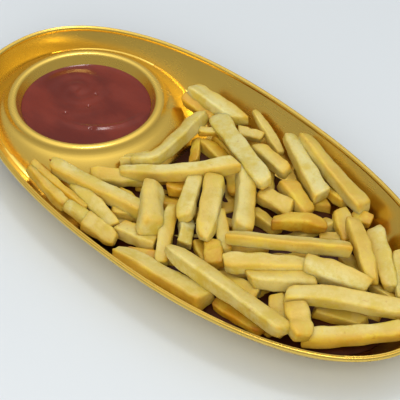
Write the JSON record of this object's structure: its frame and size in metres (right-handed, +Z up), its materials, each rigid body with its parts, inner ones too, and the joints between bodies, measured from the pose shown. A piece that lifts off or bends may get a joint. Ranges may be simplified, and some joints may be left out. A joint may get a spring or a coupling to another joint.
{
  "type": "french fries portion",
  "caption": "French fries heaped in an oval gold-coloured metal dish, with tomato sauce in a round well at one end of the dish.",
  "frame": {"origin": "under the middle of the dish, on the surface that it stands on", "axes": "+X along the dish, away from the sauce well; +Z up; +Y across the dish"},
  "size_m": [0.27, 0.1306, 0.0267],
  "materials": {
    "gold_metal": "gold-coloured, satin to polished pressed metal",
    "tomato_sauce": "wet and glossy",
    "fried_potato": "pale golden, dry and lightly fried"
  },
  "bodies": {
    "root": {"dish": "gold_metal", "sauce": "tomato_sauce", "fries": "fried_potato"}
  },
  "joints": []
}
